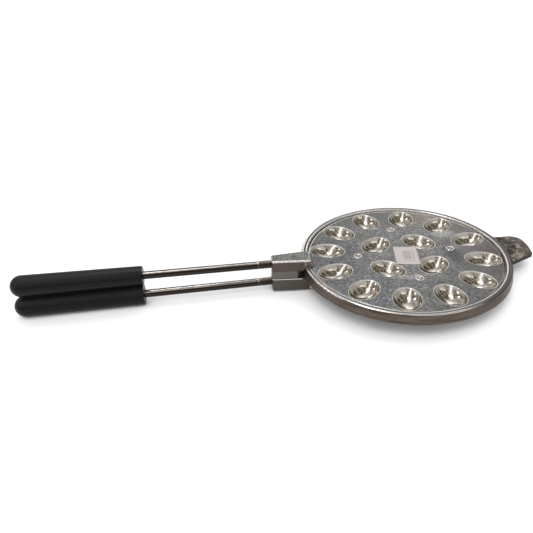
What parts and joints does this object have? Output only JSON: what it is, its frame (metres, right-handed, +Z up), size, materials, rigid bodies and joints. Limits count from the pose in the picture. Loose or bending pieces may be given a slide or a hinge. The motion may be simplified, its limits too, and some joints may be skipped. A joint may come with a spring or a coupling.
{
  "type": "walnut cookie pan",
  "caption": "Hinged round stovetop pan that bakes walnut-shaped cookie shells between two cast plates, with long rods and sleeved grips",
  "frame": {"origin": "middle of the closed pan's bounding box, at the height of its lowest point, which is under the pan half's grip", "axes": "+X from the handles towards the hinge tab; +Y to the far side of the disc; +Z up, square to the rim's flat top"},
  "size_m": [0.5968, 0.2404, 0.0513],
  "materials": {
    "pan_casting": "as-cast aluminium, brushed on the rim, warm grey-brown on the sides",
    "lid_casting": "cast aluminium with a mottled satin face and polished dimples",
    "steel_rod": "bright drawn steel rod",
    "black_grip": "smooth black, slightly soft sheen"
  },
  "bodies": {
    "pan": {"pan_half": "pan_casting", "pan_rod": "steel_rod", "pan_grip": "black_grip"},
    "lid": {"lid_half": "lid_casting", "lid_rod": "steel_rod", "lid_grip": "black_grip"}
  },
  "joints": [
    {"name": "lid_hinge", "type": "hinge", "parent": "pan", "child": "lid", "pos_m": [0.26202, 0, 0.03845], "axis": [0, 1, 0], "range_deg": [0, 95]}
  ]
}
